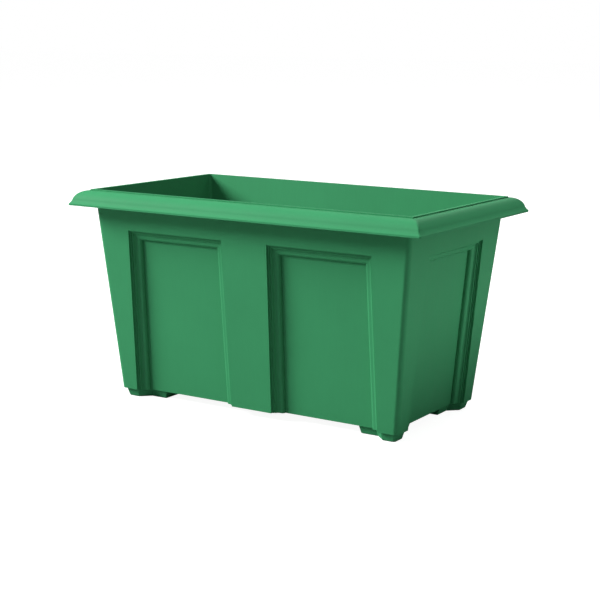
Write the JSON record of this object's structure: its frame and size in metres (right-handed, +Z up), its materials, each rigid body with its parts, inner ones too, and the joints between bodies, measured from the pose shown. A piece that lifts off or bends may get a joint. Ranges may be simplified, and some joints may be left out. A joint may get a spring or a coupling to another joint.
{
  "type": "self watering planter",
  "caption": "Rectangular self-watering trough planter with leaning panelled walls, rolled rim, block feet and a water reservoir with filler and level gauge.",
  "frame": {"origin": "centre of the footprint on the ground", "axes": "+X along the long side to the right, -Y to the front, +Z up"},
  "size_m": [0.6, 0.36, 0.325],
  "materials": {
    "moulded_green": "moulded matte green, fine upright grain",
    "black_plastic": "moulded matte black",
    "rubber_black": "soft black rubber",
    "clear_plastic": "clear glossy plastic",
    "float_white": "off-white foamed plastic",
    "marker_red": "glossy red plastic",
    "pin_steel": "bright steel wire"
  },
  "bodies": {
    "planter": {"planter_shell": "moulded_green", "foot_front_left": "moulded_green", "foot_front_right": "moulded_green", "foot_rear_left": "moulded_green", "foot_rear_right": "moulded_green", "overflow_spout": "black_plastic", "overflow_seal": "rubber_black", "overflow_nut": "black_plastic"},
    "platform_left": {"platform_left": "black_plastic", "wick_basket_left": "black_plastic", "gauge_tube": "black_plastic", "gauge_guide": "black_plastic", "gauge_cap": "clear_plastic"},
    "platform_right": {"platform_right": "black_plastic", "wick_basket_right": "black_plastic", "fill_tube": "black_plastic", "fill_funnel": "black_plastic", "lid_pin": "pin_steel"},
    "filler_lid": {"filler_lid": "moulded_green"},
    "float": {"float": "float_white", "float_rod": "float_white", "level_marker": "marker_red"},
    "drain_plug": {"drain_plug": "black_plastic", "drain_washer": "rubber_black"}
  },
  "joints": [
    {"name": "platform_left_lift", "type": "slide", "parent": "planter", "child": "platform_left", "axis": [0, 0, 1], "range_m": [0, 0.33]},
    {"name": "platform_right_lift", "type": "slide", "parent": "planter", "child": "platform_right", "axis": [0, 0, 1], "range_m": [0, 0.33]},
    {"name": "filler_lid_hinge", "type": "hinge", "parent": "platform_right", "child": "filler_lid", "pos_m": [0.124, -0.118, 0.299], "axis": [1, 0, 0], "range_deg": [0, 105]},
    {"name": "float_rise", "type": "slide", "parent": "platform_left", "child": "float", "axis": [0, 0, 1], "range_m": [0, 0.055]},
    {"name": "drain_plug_turn", "type": "hinge", "parent": "planter", "child": "drain_plug", "pos_m": [0, 0, 0.013], "axis": [0, 0, 1], "range_deg": [0, 90]}
  ]
}
